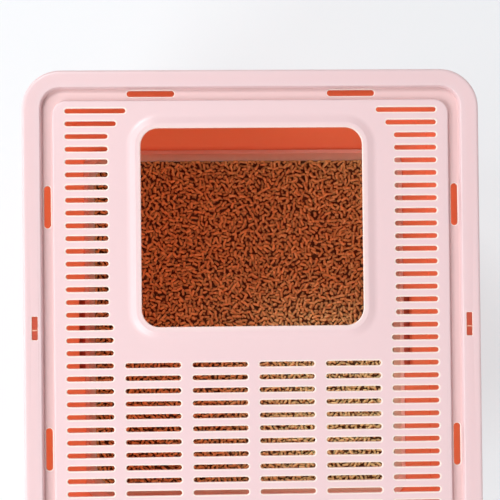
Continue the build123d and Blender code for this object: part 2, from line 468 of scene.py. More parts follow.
class Shell:
    """Surfaces that share their edges and close into one mesh."""

    sharp: float = 0.9

    def __init__(self) -> None:
        """Starts with no surface."""
        self.points: list[np.ndarray] = []
        self.wear: list[np.ndarray] = []
        self.faces: list[tuple[int, ...]] = []
        self.count = 0

    def _keep(self, points: np.ndarray, faces: np.ndarray, wear: HighlightShare = 0.0) -> None:
        """Adds points with their share of painted highlight, and the faces between them."""
        self.wear.append(np.broadcast_to(wear, points.shape[:-1]).ravel())
        self.points.append(points.reshape(-1, 3))
        self.faces.extend(map(tuple, (faces + self.count).tolist()))
        self.count += len(self.points[-1])

    def carry(
        self, outline: Union[Outline, Slots], profile: np.ndarray, wear: HighlightShare = 0.0
    ) -> np.ndarray:
        """Adds the bands that a profile sweeps along an outline, or along each of some slots.

        A band's point (i, j) is the outline's point j at the profile's inset i, at height i.

        Args:
            outline: The outline or the slots.
            profile: Points of shape (count, 2), each an inset and a height.
            highlight: How much painted highlight each of the profile's points takes, from 0 to 1.

        Returns:
            The swept outlines, as the outline or the slots give them.
        """
        loops = outline.loops(profile[:, 0])
        grid = loops.reshape(-1, *loops.shape[-3:])
        count, rings, around, _ = grid.shape
        tall = np.broadcast_to(profile[:, 1, None, None], (count, rings, around, 1))
        highlit = np.broadcast_to(wear, rings)[:, None]
        self._keep(np.concatenate([grid, tall], -1), tubes(count, rings, around), highlit)
        return loops

    def fill(
        self, outer: np.ndarray, holes: Sequence[np.ndarray], height: Union[float, list[float]]
    ) -> None:
        """Adds a sheet between an outline and the convex holes in it.

        The sheet is triangulated through the outlines' own points, and a triangle with all three
        points on one hole lies in that hole, so it is left out.

        Args:
            outer: The outline.
            holes: The holes' outlines.
            height: One height, or one for the outline and for each hole.
        """
        loops = [outer, *holes]
        points = np.concatenate(loops)
        sizes = np.array([len(loop) for loop in loops])
        owner = np.repeat(np.arange(len(loops)), sizes)
        starts = np.repeat(np.cumsum(sizes) - sizes, sizes)
        index = np.arange(len(points))
        following = starts + (index - starts + 1) % sizes[owner]
        edges = np.stack([index, following], -1).tolist()
        found = delaunay_2d_cdt([Vector(p) for p in points], edges, [], 1, MERGE / 10)
        flat = np.array([tuple(v) for v in found[0]])
        origin = np.array([source[0] for source in found[3]])
        triangles = np.array([face for face in found[2] if len(face) == 3])
        owners = owner[origin[triangles]]
        inside = (owners[:, 0] > 0) & (owners == owners[:, :1]).all(axis=1)
        level = np.broadcast_to(height, len(loops))[owner[origin]][:, None]
        self._keep(np.concatenate([flat, level], -1), triangles[~inside])

    def build(self, name: str) -> Object:
        """Merges the shared edges and makes the object.

        Args:
            name: The object's name.

        Returns:
            The object, linked to the scene.
        """
        mesh = bpy.data.meshes.new(name)
        mesh.from_pydata(np.concatenate(self.points), [], self.faces)
        # Each point's share of painted highlight.
        mark(mesh, PAINTED_HIGHLIGHT, np.concatenate(self.wear))
        form = bmesh.new()
        form.from_mesh(mesh)
        bmesh.ops.remove_doubles(form, verts=form.verts, dist=MERGE)
        bmesh.ops.dissolve_degenerate(form, edges=form.edges, dist=MERGE / 10)
        bmesh.ops.recalc_face_normals(form, faces=form.faces)
        form.to_mesh(mesh)
        form.free()
        return linked(name, mesh, self.sharp)


def mark(mesh: Mesh, name: str, values: np.ndarray) -> None:
    """Gives each of a mesh's points its number, in order, under this name."""
    layer = mesh.attributes.new(name, "FLOAT", "POINT")
    layer.data.foreach_set("value", values.ravel().astype(np.float32))


def added(name: str, data: bpy.types.ID) -> Object:
    """Adds an object with this data to the scene."""
    thing = bpy.data.objects.new(name, data)
    bpy.context.scene.collection.objects.link(thing)
    return thing


def linked(name: str, mesh: Mesh, sharp: float) -> Object:
    """Adds a smooth-shaded object of a mesh.

    Args:
        name: The object's name.
        mesh: Its mesh.
        sharp: Edges that turn by more than this angle stay sharp.

    Returns:
        The object.
    """
    mesh.polygons.foreach_set("use_smooth", np.ones(len(mesh.polygons), bool))
    mesh.set_sharp_from_angle(angle=sharp)
    return added(name, mesh)


def even_shading(piece: Object) -> None:
    """Lets large flat faces keep their own normal beside small rounds."""
    weighted = piece.modifiers.new("even_shading", "WEIGHTED_NORMAL")
    weighted.mode = "FACE_AREA"
    weighted.weight = 100
    weighted.keep_sharp = True


# The lid


@dataclass
class Lid:
    """The slotted lid: skirt, rim, channel, panel and the collar of the entry opening."""

    finish: MouldedPlastic
    corner: float = 37.0 * MM
    wall: float = 2.4 * MM
    burr: float = 0.4 * MM
    skirt_draft: float = 0.5 * MM
    rim_width: float = 17.5 * MM
    rim_flat: float = 5.0 * MM
    rim_round: float = 3.0 * MM
    rim_edge: float = 1.3 * MM
    rim_fall: float = 0.6 * MM
    channel_width: float = 11.6 * MM
    end_shift: float = 1.1 * MM
    channel_depth: float = 7.5 * MM
    channel_draft: float = 1.2 * MM
    channel_round: float = 0.2 * MM
    panel_drop: float = 3.0 * MM
    panel_draft: float = 1.3 * MM
    panel_corner: float = 13.0 * MM
    panel_edge: float = 1.6 * MM
    foot_margin: float = 0.4 * MM
    opening_width: float = 209.0 * MM
    opening_length: float = 187.0 * MM
    opening_corner: float = 16.5 * MM
    opening_lip: float = 1.1 * MM
    # How many lip widths back from the opening's edge the painted highlight reaches.
    opening_highlight: float = 1.25
    collar_width: float = 14.5 * MM
    collar_crest: float = 5.0 * MM
    collar_height: float = 2.4 * MM
    collar_sweep: float = 5.0 * MM
    collar_steps: int = 9
    collar_edge: float = 0.8 * MM
    slot_pitch: float = 12.0 * MM
    slot_width: float = 4.4 * MM
    slot_lip: float = 0.9 * MM
    slot_halo: float = 0.6 * MM
    slot_burr: float = 0.25 * MM
    # The painted highlight fades down a slot's lip by this share.
    lip_fading: float = 0.5
    halo_core: float = 0.4
    row_reach: int = 17
    side_slot_inset: float = 40.5 * MM
    corner_slot: float = 57.0 * MM
    second_slot: float = 48.0 * MM
    narrow_slot: float = 40.0 * MM
    wide_slot: float = 44.0 * MM
    slot_bar: float = 11.0 * MM
    grid_columns: int = 4
    grid_gap: float = 36.0 * MM
    channel_slot_lip: float = 0.45 * MM
    channel_slot_halo: float = 0.5 * MM
    end_slot_inset: float = 21.9 * MM
    end_slot_width: float = 5.7 * MM
    end_slot_length: float = 45.0 * MM
    end_slot_spread: float = 190.0 * MM
    flank_slot_inset: float = 23.2 * MM
    flank_slot_width: float = 6.4 * MM
    flank_slot_length: float = 40.0 * MM
    flank_slot_spread: float = 228.0 * MM
    window_inset: float = 11.4 * MM
    window_width: float = 5.6 * MM
    window_length: float = 22.0 * MM
    window_corner: float = 0.8 * MM
    window_lip: float = 0.4 * MM
    window_halo: float = 0.25 * MM

    def __post_init__(self) -> None:
        """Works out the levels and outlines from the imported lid."""
        low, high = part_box("lid")
        self.width = high.x - low.x
        self.length = high.y - low.y
        self.bottom, self.top = low.z, high.z
        self.seat = self.top - self.wall
        self.channel = self.top - self.channel_depth
        self.panel = self.top - self.panel_drop
        self.panel_inset = self.rim_width + self.channel_width
        self.panel_foot = self.panel_inset - self.panel_draft
        self.edge = Outline(self.width, self.length, self.corner)
        self.channel_edge = Outline(self.width, self.length + 2 * self.end_shift, self.corner)
        panel_round = self.panel_corner + self.panel_inset
        self.panel_outline = Outline(self.width, self.length, panel_round)
        size = (self.opening_width, self.opening_length, self.opening_corner)
        self.opening = Outline(*size, (0.0, self.opening_length / 2), steps=12, sense=-1)

    def side_slots(self) -> list[Slots]:
        """The two columns at the sides, grouped by length."""
        rows = np.arange(-self.row_reach, self.row_reach + 1) * self.slot_pitch
        beside = (rows > 0) & (rows < self.opening_length)
        lengths = np.where(beside, self.narrow_slot, self.wide_slot)
        lengths[[1, -2]] = self.second_slot
        lengths[[0, -1]] = self.corner_slot
        outer = self.width / 2 - self.side_slot_inset
        edge = (self.slot_width, self.slot_lip, self.slot_halo)
        groups = []
        for length in np.unique(lengths):
            x = np.array([-1, 1]) * (outer - length / 2)
            y = rows[lengths == length]
            centres = np.stack(np.meshgrid(x, y, indexing="ij"), -1).reshape(-1, 2)
            groups.append(Slots(centres, float(length), *edge))
        return groups

    def grid_slots(self) -> Slots:
        """The columns between the side slots, on the near half of the panel."""
        inner = self.width / 2 - self.side_slot_inset - self.wide_slot
        pitch = (2 * inner - self.slot_bar) / self.grid_columns
        x = (np.arange(self.grid_columns) - (self.grid_columns - 1) / 2) * pitch
        rows = np.arange(-self.row_reach + 2, 0) * self.slot_pitch
        y = rows[rows <= -self.grid_gap + MERGE]
        centres = np.stack(np.meshgrid(x, y), -1).reshape(-1, 2)
        length = pitch - self.slot_bar
        return Slots(centres, length, self.slot_width, self.slot_lip, self.slot_halo)

    def channel_slots(self) -> list[Slots]:
        """The long slots in the channel floor, two on each side."""
        half_width = self.width / 2 - self.flank_slot_inset
        half_length = self.length / 2 - self.end_slot_inset
        signs = np.array([(-1, -1), (1, -1), (-1, 1), (1, 1)], float)
        ends = signs * (self.end_slot_spread / 2, half_length)
        flanks = signs * (half_width, self.flank_slot_spread / 2)
        edge = (self.channel_slot_lip, self.channel_slot_halo)
        return [
            Slots(ends, self.end_slot_length, self.end_slot_width, *edge),
            Slots(flanks, self.flank_slot_length, self.flank_slot_width, *edge, along_y=True),
        ]

    def windows(self) -> list[Outline]:
        """The two windows in the rim."""
        size = (self.window_width, self.window_length, self.window_corner)
        x = self.width / 2 - self.window_inset
        return [Outline(*size, (side * x, 0.0), steps=3, sense=-1) for side in (-1, 1)]

    def _pierce(
        self, shell: Shell, groups: Sequence[Slots], top: float
    ) -> tuple[list[np.ndarray], list[np.ndarray]]:
        """Adds the walls of slots through one thickness of the lid.

        Args:
            shell: The shell that takes them.
            groups: The slots.
            top: The height of the surface that they pierce.

        Returns:
            The holes' outlines at the top and at the bottom.
        """
        top_holes, base_holes = [], []
        base = top - self.wall
        for slots in groups:
            lip = slots.lip
            profile = rounded(
                (lip + slots.halo, top, 0),
                (lip + self.halo_core * slots.halo, top, 0),
                (0, top, lip),
                (0, base, self.slot_burr),
                (self.slot_burr, base, 0),
            )
            # Painted highlight on the inner part of the ring and down the lip, fading as it goes.
            depth = (top - profile[:, 1]) / lip
            wear = np.where(depth > 1.0, 0.0, 1.0 - depth * self.lip_fading)
            wear[0] = 0.0
            loops = shell.carry(slots, profile, wear)
            top_holes += list(loops[:, 0])
            base_holes += list(loops[:, -1])
        return top_holes, base_holes

    def _rim(self, shell: Shell) -> None:
        """Adds the skirt, the rim with its windows, and the underside of the rim."""
        flat_inner = self.rim_width - 2 * self.rim_edge
        under = self.wall + self.skirt_draft
        skirt = rounded(
            (under, self.seat, 0),
            (self.wall, self.bottom, self.burr),
            (0, self.bottom, self.burr),
            (self.skirt_draft, self.top, self.rim_round),
            (self.rim_flat, self.top, 0),
            steps=7,
        )
        shell.carry(self.edge, skirt)
        slope = self.rim_fall / (flat_inner - self.rim_flat)
        dip = self.top - slope * (self.window_inset - self.rim_flat)
        lip, halo = self.window_lip, self.window_halo
        profile = rounded(
            (lip + halo, dip, 0),
            (lip + self.halo_core * halo, dip, 0),
            (0, dip, lip),
            (0, self.seat, 0),
            steps=3,
        )
        # Painted highlight round the window's lip.
        wear = np.ones(len(profile))
        wear[[0, -1]] = 0.0
        windows = [shell.carry(window, profile, wear) for window in self.windows()]
        inner = self.channel_edge.loop(flat_inner)
        heights = [self.top, self.top - self.rim_fall, dip, dip]
        top_holes = [loops[0] for loops in windows]
        shell.fill(self.edge.loop(self.rim_flat), [inner, *top_holes], heights)
        inner = self.channel_edge.loop(self.rim_width - self.wall)
        base_holes = [loops[-1] for loops in windows]
        shell.fill(self.edge.loop(under), [inner, *base_holes], self.seat)

    def _channel(self, shell: Shell) -> None:
        """Adds the channel's outer wall, its slotted floor and its underside."""
        foot = self.rim_width + self.channel_draft
        flat = foot + self.channel_round
        wall = rounded(
            (self.rim_width - 2 * self.rim_edge, self.top - self.rim_fall, 0),
            (self.rim_width, self.top - self.rim_fall, self.rim_edge),
            (foot, self.channel, self.channel_round),
            (flat, self.channel, 0),
            steps=5,
        )
        shell.carry(self.channel_edge, wall)
        top_holes, base_holes = self._pierce(shell, self.channel_slots(), self.channel)
        inner = self.panel_outline.loop(self.panel_foot - self.foot_margin)
        shell.fill(self.channel_edge.loop(flat), [inner, *top_holes], self.channel)
        base = self.channel - self.wall
        under = self.rim_width - self.wall
        shell.carry(self.channel_edge, np.array([(under, self.seat), (under, base)]))
        inner = self.panel_outline.loop(self.panel_inset + self.wall)
        shell.fill(self.channel_edge.loop(under), [inner, *base_holes], base)

    def _collar_profile(self) -> np.ndarray:
        """The collar's profile from the panel over the crest, down the opening and back below.

        From the panel the slope grows evenly over the sweep, which makes a parabola, and then
        stays the same up to the crest. The underside is the same line one wall lower.

        Returns:
            Points of shape (count, 2), the distance from the opening and the height.
        """
        run = self.collar_width - self.collar_crest
        slope = self.collar_height / (run - self.collar_sweep / 2)
        across = np.linspace(0, self.collar_sweep, self.collar_steps)
        rise = slope * across**2 / (2 * self.collar_sweep)
        sweep = np.stack([self.collar_width - across, self.panel + rise], -1)
        crest = self.panel + self.collar_height
        foot = (*sweep[-1], 0)
        ridge = rounded(
            foot,
            (self.collar_crest, crest, self.collar_edge),
            (0, crest, self.opening_lip),
            (0, crest - self.wall, self.burr),
            (self.collar_crest - self.wall / 2, crest - self.wall, 0),
            (foot[0] - self.wall / 3, foot[1] - self.wall, 0),
            steps=5,
        )
        below = sweep[:-1][::-1] - (0, self.wall)
        return np.concatenate([sweep[:-1], ridge, below])

    def _panel(self, shell: Shell) -> None:
        """Adds the raised panel, its slots, the collar and the underside."""
        flat = self.panel_inset + 2 * self.panel_edge
        wall = rounded(
            (self.panel_foot - self.foot_margin, self.channel, 0),
            (self.panel_foot, self.channel, self.channel_round),
            (self.panel_inset, self.panel, self.panel_edge),
            (flat, self.panel, 0),
            steps=5,
        )
        shell.carry(self.panel_outline, wall)
        collar = self._collar_profile()
        depth = self.panel + self.collar_height - collar[:, 1]
        # Painted highlight round the opening's lip.
        wear = np.clip(self.opening_highlight - collar[:, 0] / self.opening_lip, 0, 1)
        wear = np.where(depth < self.opening_lip, wear, 0)
        opening = shell.carry(self.opening, collar, wear)
        groups = [*self.side_slots(), self.grid_slots()]
        top_holes, base_holes = self._pierce(shell, groups, self.panel)
        shell.fill(self.panel_outline.loop(flat), [opening[0], *top_holes], self.panel)
        base = self.panel - self.wall
        under = self.panel_inset + self.wall
        drop = np.array([(under, self.channel - self.wall), (under, base)])
        shell.carry(self.panel_outline, drop)
        shell.fill(self.panel_outline.loop(under), [opening[-1], *base_holes], base)

    def build(self) -> list[Object]:
        """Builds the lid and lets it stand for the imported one.

        Returns:
            The lid alone.
        """
        shell = Shell()
        self._rim(shell)
        self._channel(shell)
        self._panel(shell)
        piece = shell.build("lid_moulding")
        even_shading(piece)
        piece.data.materials.append(self.finish.material())
        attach(piece, "cover")
        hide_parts("lid")
        return [piece]


# The litter


@dataclass
class Litter:
    """Loose pellets on the heap that fills the pan."""

    pellet_finish: PressedFibre
    heap_shade_finish: PressedFibre
    seed: int = 7
    count: int = 19000
    tries: int = 14
    radius: float = 1.75 * MM
    radius_spread: float = 0.15 * MM
    lengths: tuple[float, float, float] = (4.8 * MM, 6.8 * MM, 10.5 * MM)
    sides: int = 6
    tip_reach: float = 0.85
    shoulder_reach: float = 0.35
    tip_width: float = 0.62
    looseness: float = 0.25 * MM
    sharp: float = 1.2
    grain_length: float = 16.0 * MM
    grain_spread: float = 0.9
    grain_waves: int = 6
    wall_gap: float = 0.6 * MM
    corner: float = 30.0 * MM
    draft_degrees: float = 7.1
    heap_depth: float = 8.5 * MM
    heap_rise: float = 1.5 * MM
    heap_lift: float = 0.3 * MM
    heap_toe: float = 3.0 * MM
    heap_toe_height: float = 9.0 * MM
    map_step: float = 1.0 * MM
    map_margin: float = 4.0 * MM
    samples: int = 9
    least_gap: float = 0.1
    flank: float = 0.8
    steepest: float = 0.55
    crest_percent: float = 99.5
    cover: float = 1.2 * MM
    darkest: float = 0.65
    # Painted shade on each pellet: its underside darker than its top, and deeper pellets darker.
    side_light: float = 0.65
    crown_light: float = 0.7
    depth_shade: float = 6.0 * MM
    depth_shade_share: float = 0.55
    # A painted pool of light on the near right, drawn as bright khaki pellets.
    light_pool_middle: tuple[float, float] = (140.0 * MM, -120.0 * MM)
    light_pool_reach: tuple[float, float] = (150.0 * MM, 110.0 * MM)
    light_pool_strength: float = 1.3
    khaki_chance: float = 0.35

    def __post_init__(self) -> None:
        """Takes the bed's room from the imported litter."""
        low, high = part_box("litter_bed")
        self.half_width, self.half_length = high.x, high.y
        self.floor, self.surface = low.z, high.z
        self.base = self.surface - self.heap_depth
        self.random = np.random.default_rng(self.seed)

    def _inside(self, points: np.ndarray) -> np.ndarray:
        """Moves points that lie outside the bed's rounded outline onto it.

        A point beyond a corner's hub is drawn back along its ray from that hub to the corner's
        arc; elsewhere each coordinate is held within the straight sides.

        Args:
            points: Points of shape (..., 2).

        Returns:
            The points inside.
        """
        room = self.wall_gap + self.radius
        half = np.array([self.half_width - room, self.half_length - room])
        corner = self.corner - room
        held = np.clip(points, -half, half)
        hub = np.clip(held, -(half - corner), half - corner)
        away = held - hub
        reach = np.linalg.norm(away, axis=-1, keepdims=True)
        return hub + away * np.minimum(1, corner / np.maximum(reach, MERGE))

    def _grain(self, points: np.ndarray) -> np.ndarray:
        """The heading that pellets near a point tend to share.

        It is half the direction of the sum of a few waves of random heading and phase, whose
        sines and cosines turn the heading from one patch to the next.

        Args:
            points: Points of shape (..., 2).

        Returns:
            Their headings in radians.
        """
        waves = self.random.normal(0, 1 / self.grain_length, (self.grain_waves, 2))
        phases = self.random.uniform(0, 2 * math.pi, (self.grain_waves, 2))
        angles = (points @ waves.T)[..., None] + phases
        return np.arctan2(np.sin(angles[..., 0]).sum(-1), np.cos(angles[..., 1]).sum(-1)) / 2

    def _scatter(self) -> tuple[np.ndarray, np.ndarray, np.ndarray]:
        """Draws the places from which each pellet chooses its own.

        Returns:
            Both ends seen from above, of shape (pellets, tries, 2), and the pellets' radii.
        """
        half = np.array([self.half_width, self.half_length])
        middles = self.random.uniform(-half, half, (self.count, self.tries, 2))
        heading = self._grain(middles) + self.random.normal(0, self.grain_spread, middles.shape[:2])
        length = self.random.triangular(*self.lengths, self.count)
        radius = self.radius + self.random.uniform(-1, 1, self.count) * self.radius_spread
        reach = (length / 2 - radius)[:, None, None]
        turned = np.stack([np.cos(heading), np.sin(heading)], -1) * reach
        return self._inside(middles - turned), self._inside(middles + turned), radius

    def _settle(self) -> tuple[np.ndarray, np.ndarray, np.ndarray]:
        """Drops the pellets one by one on the heap and leaves out those that end up hidden.

        A pellet rests on two points below it, one on each side of its middle: of all such pairs,
        the one whose line is highest under the middle. Its round underside lets a point to its
        side stand higher. It takes the lowest of its tries and then raises the map of heights by
        its own upper half. It is hidden where others cover its whole length.

        Returns:
            The two ends of each pellet's axis and the radii.
        """
        first, last, radius = self._scatter()
        edge = np.array([self.half_width, self.half_length]) + self.map_margin
        ground = np.full((2 * edge / self.map_step).astype(int) + 1, self.base)
        share = np.linspace(0, 1, self.samples)
        half = self.samples // 2
        side = np.array([-self.flank, 0.0, self.flank])
        bulge = np.sqrt(1 - side**2)
        left, right = share[: half + 1] - 0.5, share[half:] - 0.5
        gap = right[None] - left[:, None]
        gap[gap < self.least_gap] = np.inf
        ends = np.zeros((self.count, 2, 3))
        for index in range(self.count):
            round_ = radius[index]
            axis = last[index] - first[index]
            span = np.maximum(np.hypot(axis[:, 0], axis[:, 1]), MERGE)
            across = np.stack([-axis[:, 1], axis[:, 0]], -1) * (round_ / span)[:, None]
            line = first[index][:, None] + share[:, None] * axis[:, None]
            cells = line[:, :, None] + across[:, None, None] * side[:, None]
            cells = ((cells + edge) / self.map_step).astype(int)
            below = (ground[cells[..., 0], cells[..., 1]] + round_ * bulge).max(axis=2)
            low, high = below[:, : half + 1], below[:, half:]
            slope = (high[:, None] - low[:, :, None]) / gap
            middle = (low[:, :, None] - slope * left[:, None]).reshape(self.tries, -1)
            highest = middle.argmax(axis=1)
            rest = middle[np.arange(self.tries), highest]
            best = int(rest.argmin())
            limit = self.steepest * span[best]
            steep = np.clip(slope[best].reshape(-1)[highest[best]], -limit, limit)
            heights = rest[best] + steep * (share - 0.5)
            crown = heights[:, None] + round_ * bulge
            np.maximum.at(ground, (cells[best, ..., 0], cells[best, ..., 1]), crown)
            ends[index, 0] = (*first[index, best], heights[0])
            ends[index, 1] = (*last[index, best], heights[-1])
        line = ends[:, None, 0] + share[:, None] * (ends[:, None, 1] - ends[:, None, 0])
        cells = ((line[..., :2] + edge) / self.map_step).astype(int)
        covered = ground[cells[..., 0], cells[..., 1]] - line[..., 2] - radius[:, None]
        shown = covered.min(axis=1) < self.cover
        crest = np.percentile(ends[:, :, 2], self.crest_percent) + self.radius
        ends[:, :, 2] -= crest - self.surface
        return ends[shown, 0], ends[shown, 1], radius[shown]

    def _pellets(self, name: str, pellets: Sequence[np.ndarray]) -> Object:
        """Makes one piece of many pellets.

        Ring r, corner s of a pellet is its axis point at the ring's share, plus the ring's radius
        times the cosine and sine of the corner's angle along two directions square to the axis.

        Args:
            name: The piece's name.
            pellets: Axis ends, radii, tones, and khaki shares, partly a painted pool of light.

        Returns:
            The piece.
        """
        start, stop, radius, tone, khaki = pellets
        axis = stop - start
        span = np.linalg.norm(axis, axis=1, keepdims=True)
        along = axis / np.maximum(span, MERGE)
        across = np.cross(along, (0.0, 0.0, 1.0))
        across /= np.linalg.norm(across, axis=1, keepdims=True)
        up = np.cross(across, along)
        start, stop = start + along * self.looseness, stop - along * self.looseness
        axis, radius = stop - start, radius - self.looseness / 2
        tip, shoulder = self.tip_reach, self.shoulder_reach
        reach = np.array([-tip, -shoulder, shoulder, tip])
        shares = np.array([0.0, 0.0, 1.0, 1.0])
        widths = np.array([self.tip_width, 1.0, 1.0, self.tip_width])
        spin = self.random.uniform(0, math.pi, len(start))
        corner = np.arange(self.sides)
        angle = corner * 2 * math.pi / self.sides + spin[:, None]
        middle = start[:, None] + axis[:, None] * shares[:, None]
        middle = middle + along[:, None] * (reach[:, None] * radius[:, None, None])
        ring = (
            across[:, None] * np.cos(angle)[..., None] + up[:, None] * np.sin(angle)[..., None]
        ) * radius[:, None, None]
        points = middle[:, :, None] + ring[:, None] * widths[None, :, None, None]
        count, rings = len(start), len(shares)
        faces = tubes(count, rings, self.sides).tolist()
        caps = np.stack([corner[::-1], corner + (rings - 1) * self.sides])
        caps = caps + np.arange(count)[:, None, None] * rings * self.sides
        faces += caps.reshape(-1, self.sides).tolist()
        mesh = bpy.data.meshes.new(name)
        mesh.from_pydata(points.reshape(-1, 3), [], faces)
        # Painted shade: darker towards each pellet's underside and deeper in the litter.
        rise = (points[..., 2] - middle[:, :, None, 2]) / radius[:, None, None]
        crown = np.clip(self.side_light + self.crown_light * rise, 0, 1)
        depth = np.clip((self.surface - points[..., 2]) / self.depth_shade, 0, 1)
        light = crown * (1 - self.depth_shade_share * depth)
        mark(mesh, TONE_AND_SHADE, tone[:, None, None] * light)
        # Khaki share, which also paints a pool of light.
        mark(mesh, KHAKI_AND_LIGHT_POOL, np.broadcast_to(khaki[:, None, None], light.shape))
        piece = linked(name, mesh, self.sharp)
        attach(piece, "base")
        return piece

    def _khaki_and_light_pool(self, middle: np.ndarray) -> np.ndarray:
        """How khaki each pellet is: most in a patch on the near right, less at random elsewhere.

        The patch paints a pool of light: a bell of the distance from its middle, over two reaches.

        Args:
            middle: The pellets' middles seen from above.

        Returns:
            A share from 0 to 1 for each.
        """
        away = (middle - np.array(self.light_pool_middle)) / np.array(self.light_pool_reach)
        patch = np.exp(-(away**2).sum(-1)) * self.light_pool_strength
        chance = self.random.uniform(0, 1, len(middle)) - 0.5
        return np.clip(patch + self.khaki_chance * chance, 0, 1)

    def _heap(self) -> Object:
        """Makes the heap below the pellets: the tub's shape with a flat top.

        Returns:
            The heap.
        """
        low, top = self.floor + self.heap_lift, self.base + self.heap_rise
        lean = math.tan(math.radians(self.draft_degrees))
        foot, edge = ((self.surface - z) * lean + self.wall_gap for z in (self.floor, top))
        toe = self.floor + self.heap_toe_height
        profile = np.array([(foot + self.heap_toe, low), (foot, toe), (edge, top)])
        outline = Outline(2 * self.half_width, 2 * self.half_length, self.corner, steps=8)
        shell = Shell()
        loops = shell.carry(outline, profile)
        shell.fill(loops[0], [], low)
        shell.fill(loops[-1], [], top)
        return shell.build("shaded_litter_heap")

    def build(self) -> list[Object]:
        """Builds the heap and the pellets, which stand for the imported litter.

        Returns:
            The heap and the pellets in three bands.
        """
        start, stop, radius = self._settle()
        middle = (start[:, :2] + stop[:, :2]) / 2
        tone = self.random.uniform(self.darkest, 1, len(start))
        pellets = (start, stop, radius, tone, self._khaki_and_light_pool(middle))
        band = np.digitize(middle[:, 1], [-self.half_length / 3, self.half_length / 3])
        fibre = self.pellet_finish.material()
        pieces = []
        for index, place in enumerate(("near", "middle", "far")):
            chosen = [values[band == index] for values in pellets]
            piece = self._pellets(f"litter_pellets_{place}", chosen)
            piece.data.materials.append(fibre)
            pieces.append(piece)
        heap = self._heap()
        # The heap's dark colour is painted shade between the pellets.
        heap.data.materials.append(self.heap_shade_finish.material())
        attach(heap, "base")
        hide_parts("litter_bed")
        return [heap, *pieces]


# The mouldings that keep their packed form


@dataclass
class RoundedMoulding:
    """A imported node's form with the round edges that its mould leaves."""

    node: str
    rides: str
    slot: str
    finish: Union[MouldedPlastic, SoftRubber]
    edge_round: float = 0.8 * MM
    segments: int = 3
    flat_angle: float = 0.005
    sharp: float = 0.45
    shade_sharp: float = 0.6
    # Box on either side whose points take painted shade.
    shaded_recess: tuple[Point, ...] = ()
    # Depth below the top that takes a painted highlight.
    rubbed_and_highlit: float = 0.25 * MM
    # Depth and share of the painted shade on the band below the top faces.
    shade_band: float = 1.0 * MM
    shade_band_share: float = 0.75

    def _mark(self, mesh: Mesh) -> None:
        """Marks painted shade in the recess and below the top, and a painted highlight on the top.

        The recess is a box on either side. Points less than one depth below the node's top take
        a painted highlight, and points between that and a second depth take painted shade.

        Args:
            mesh: The node's rounded mesh.
        """
        points = np.empty(len(mesh.vertices) * 3)
        mesh.vertices.foreach_get("co", points)
        points = points.reshape(-1, 3)
        depth = points[:, 2].max() - points[:, 2]
        # Painted highlight on the top faces, painted shade on the band just below them.
        rubbed_and_highlit = depth < self.rubbed_and_highlit
        shade_band = ~rubbed_and_highlit & (depth < self.shade_band)
        points[:, 0] = np.abs(points[:, 0])
        # Painted shade in the box on either side.
        low, high = np.array(self.shaded_recess)
        inside = ((points > low) & (points < high)).all(axis=1)
        mark(mesh, PAINTED_SHADE, np.where(inside, 1.0, np.where(shade_band, self.shade_band_share, 0.0)))
        mark(mesh, PAINTED_HIGHLIGHT, rubbed_and_highlit)

    def build(self) -> list[Object]:
        """Copies the node, rounds its edges and lets the copy stand for it.

        The node's triangles are merged and its flat faces made whole. Each edge that turns by
        more than the sharp angle is then cut back evenly and bridged by an arc.

        Returns:
            The moulding alone.
        """
        name = f"{self.node}_moulding"
        form = bmesh.new()
        form.from_mesh(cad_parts[self.node].data)
        bmesh.ops.remove_doubles(form, verts=form.verts, dist=MERGE * 5)
        bmesh.ops.dissolve_limit(
            form, angle_limit=self.flat_angle, verts=form.verts, edges=form.edges
        )
        bmesh.ops.bevel(
            form,
            geom=[
                edge
                for edge in form.edges
                if edge.is_manifold and edge.calc_face_angle() > self.sharp
            ],
            offset=self.edge_round,
            offset_type="OFFSET",
            segments=self.segments,
            profile=0.5,
            affect="EDGES",
            clamp_overlap=True,
        )
        mesh = bpy.data.meshes.new(name)
        form.to_mesh(mesh)
        form.free()
        if self.shaded_recess:
            self._mark(mesh)
        piece = linked(name, mesh, self.shade_sharp)
        even_shading(piece)
        piece.data.materials.append(self.finish.material())
        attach(piece, self.rides)
        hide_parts(self.node)
        return [piece]


# Floor, light and camera


@dataclass(frozen=True)
class Lamp:
    """A square lamp that faces the box from a direction."""

    name: str
    direction: Point
    distance: float
    size: float
    power: float

    def build(self) -> None:
        """Hangs the lamp."""
        light = bpy.data.lights.new(self.name, "AREA")
        light.shape = "SQUARE"
        light.size = self.size
        light.energy = self.power
        away = Vector(self.direction).normalized()
        lamp = added(self.name, light)
        lamp.location = away * self.distance
        lamp.rotation_mode = "QUATERNION"
        lamp.rotation_quaternion = away.to_track_quat("Z", "Y")


